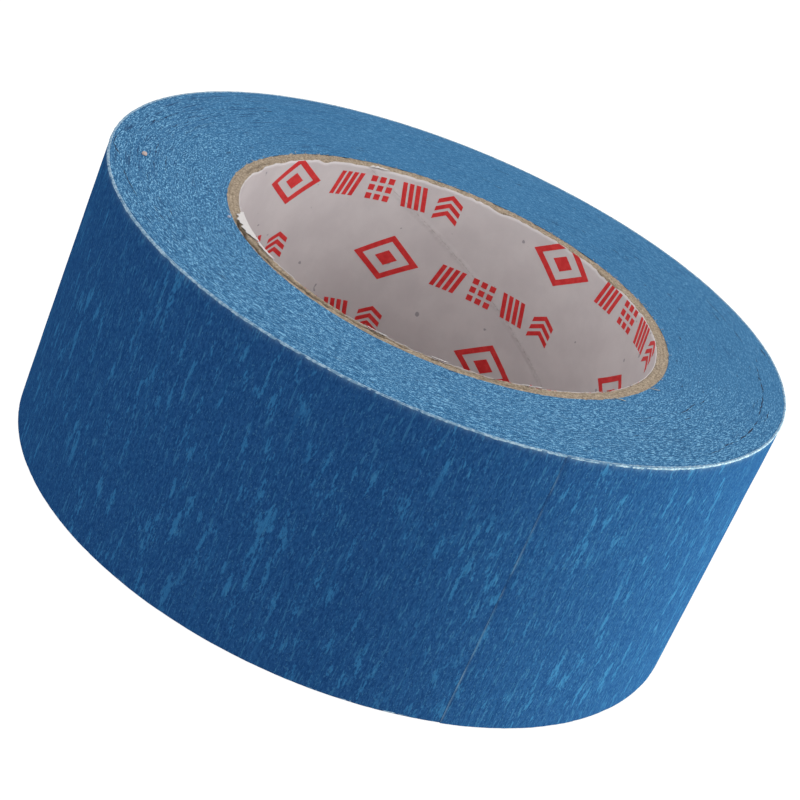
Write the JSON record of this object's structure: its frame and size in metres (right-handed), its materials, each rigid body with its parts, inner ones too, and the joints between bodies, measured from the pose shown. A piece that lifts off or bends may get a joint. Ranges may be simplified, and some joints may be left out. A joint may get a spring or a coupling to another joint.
{
  "type": "masking tape roll",
  "caption": "Wide roll of blue crepe paper masking tape wound on a spiral paperboard core with a printed white liner; its free end peels.",
  "frame": {"origin": "centre of the core's bore in the plane of the core's lower end", "axes": "+Z along the roll's axis; +X and +Y lie in the plane of the core's lower end, and the tape's cut end is at 64.3 degrees clockwise from +X"},
  "size_m": [0.1229, 0.1228, 0.0523],
  "materials": {
    "crepe_paper": "matt creped paper with a thin release coat",
    "adhesive": "tacky, translucent",
    "core_board": "matt grey-brown board with a cut, fibrous edge",
    "liner_paper": "satin calendered paper",
    "liner_ink": "flat printing ink on satin paper"
  },
  "bodies": {
    "roll": {"core_liner": "liner_paper", "core_ply_1": "core_board", "core_ply_2": "core_board", "core_ply_3": "core_board", "core_ply_4": "core_board", "wound_tape": "crepe_paper", "outer_turn_backing": "crepe_paper", "outer_turn_adhesive": "adhesive"},
    "free_end_1": {"free_end_1_backing": "crepe_paper", "free_end_1_adhesive": "adhesive"},
    "free_end_2": {"free_end_2_backing": "crepe_paper", "free_end_2_adhesive": "adhesive"},
    "free_end_3": {"free_end_3_backing": "crepe_paper", "free_end_3_adhesive": "adhesive"}
  },
  "joints": [
    {"name": "peel_1", "type": "hinge", "parent": "roll", "child": "free_end_1", "pos_m": [0.0477, -0.03885, 0.0269], "axis": [0, 0, 1], "range_deg": [0, 60]},
    {"name": "peel_2", "type": "hinge", "parent": "free_end_1", "child": "free_end_2", "pos_m": [0.04153, -0.04538, 0.0269], "axis": [0, 0, 1], "range_deg": [0, 60]},
    {"name": "peel_3", "type": "hinge", "parent": "free_end_2", "child": "free_end_3", "pos_m": [0.03447, -0.05095, 0.0269], "axis": [0, 0, 1], "range_deg": [0, 60]}
  ]
}
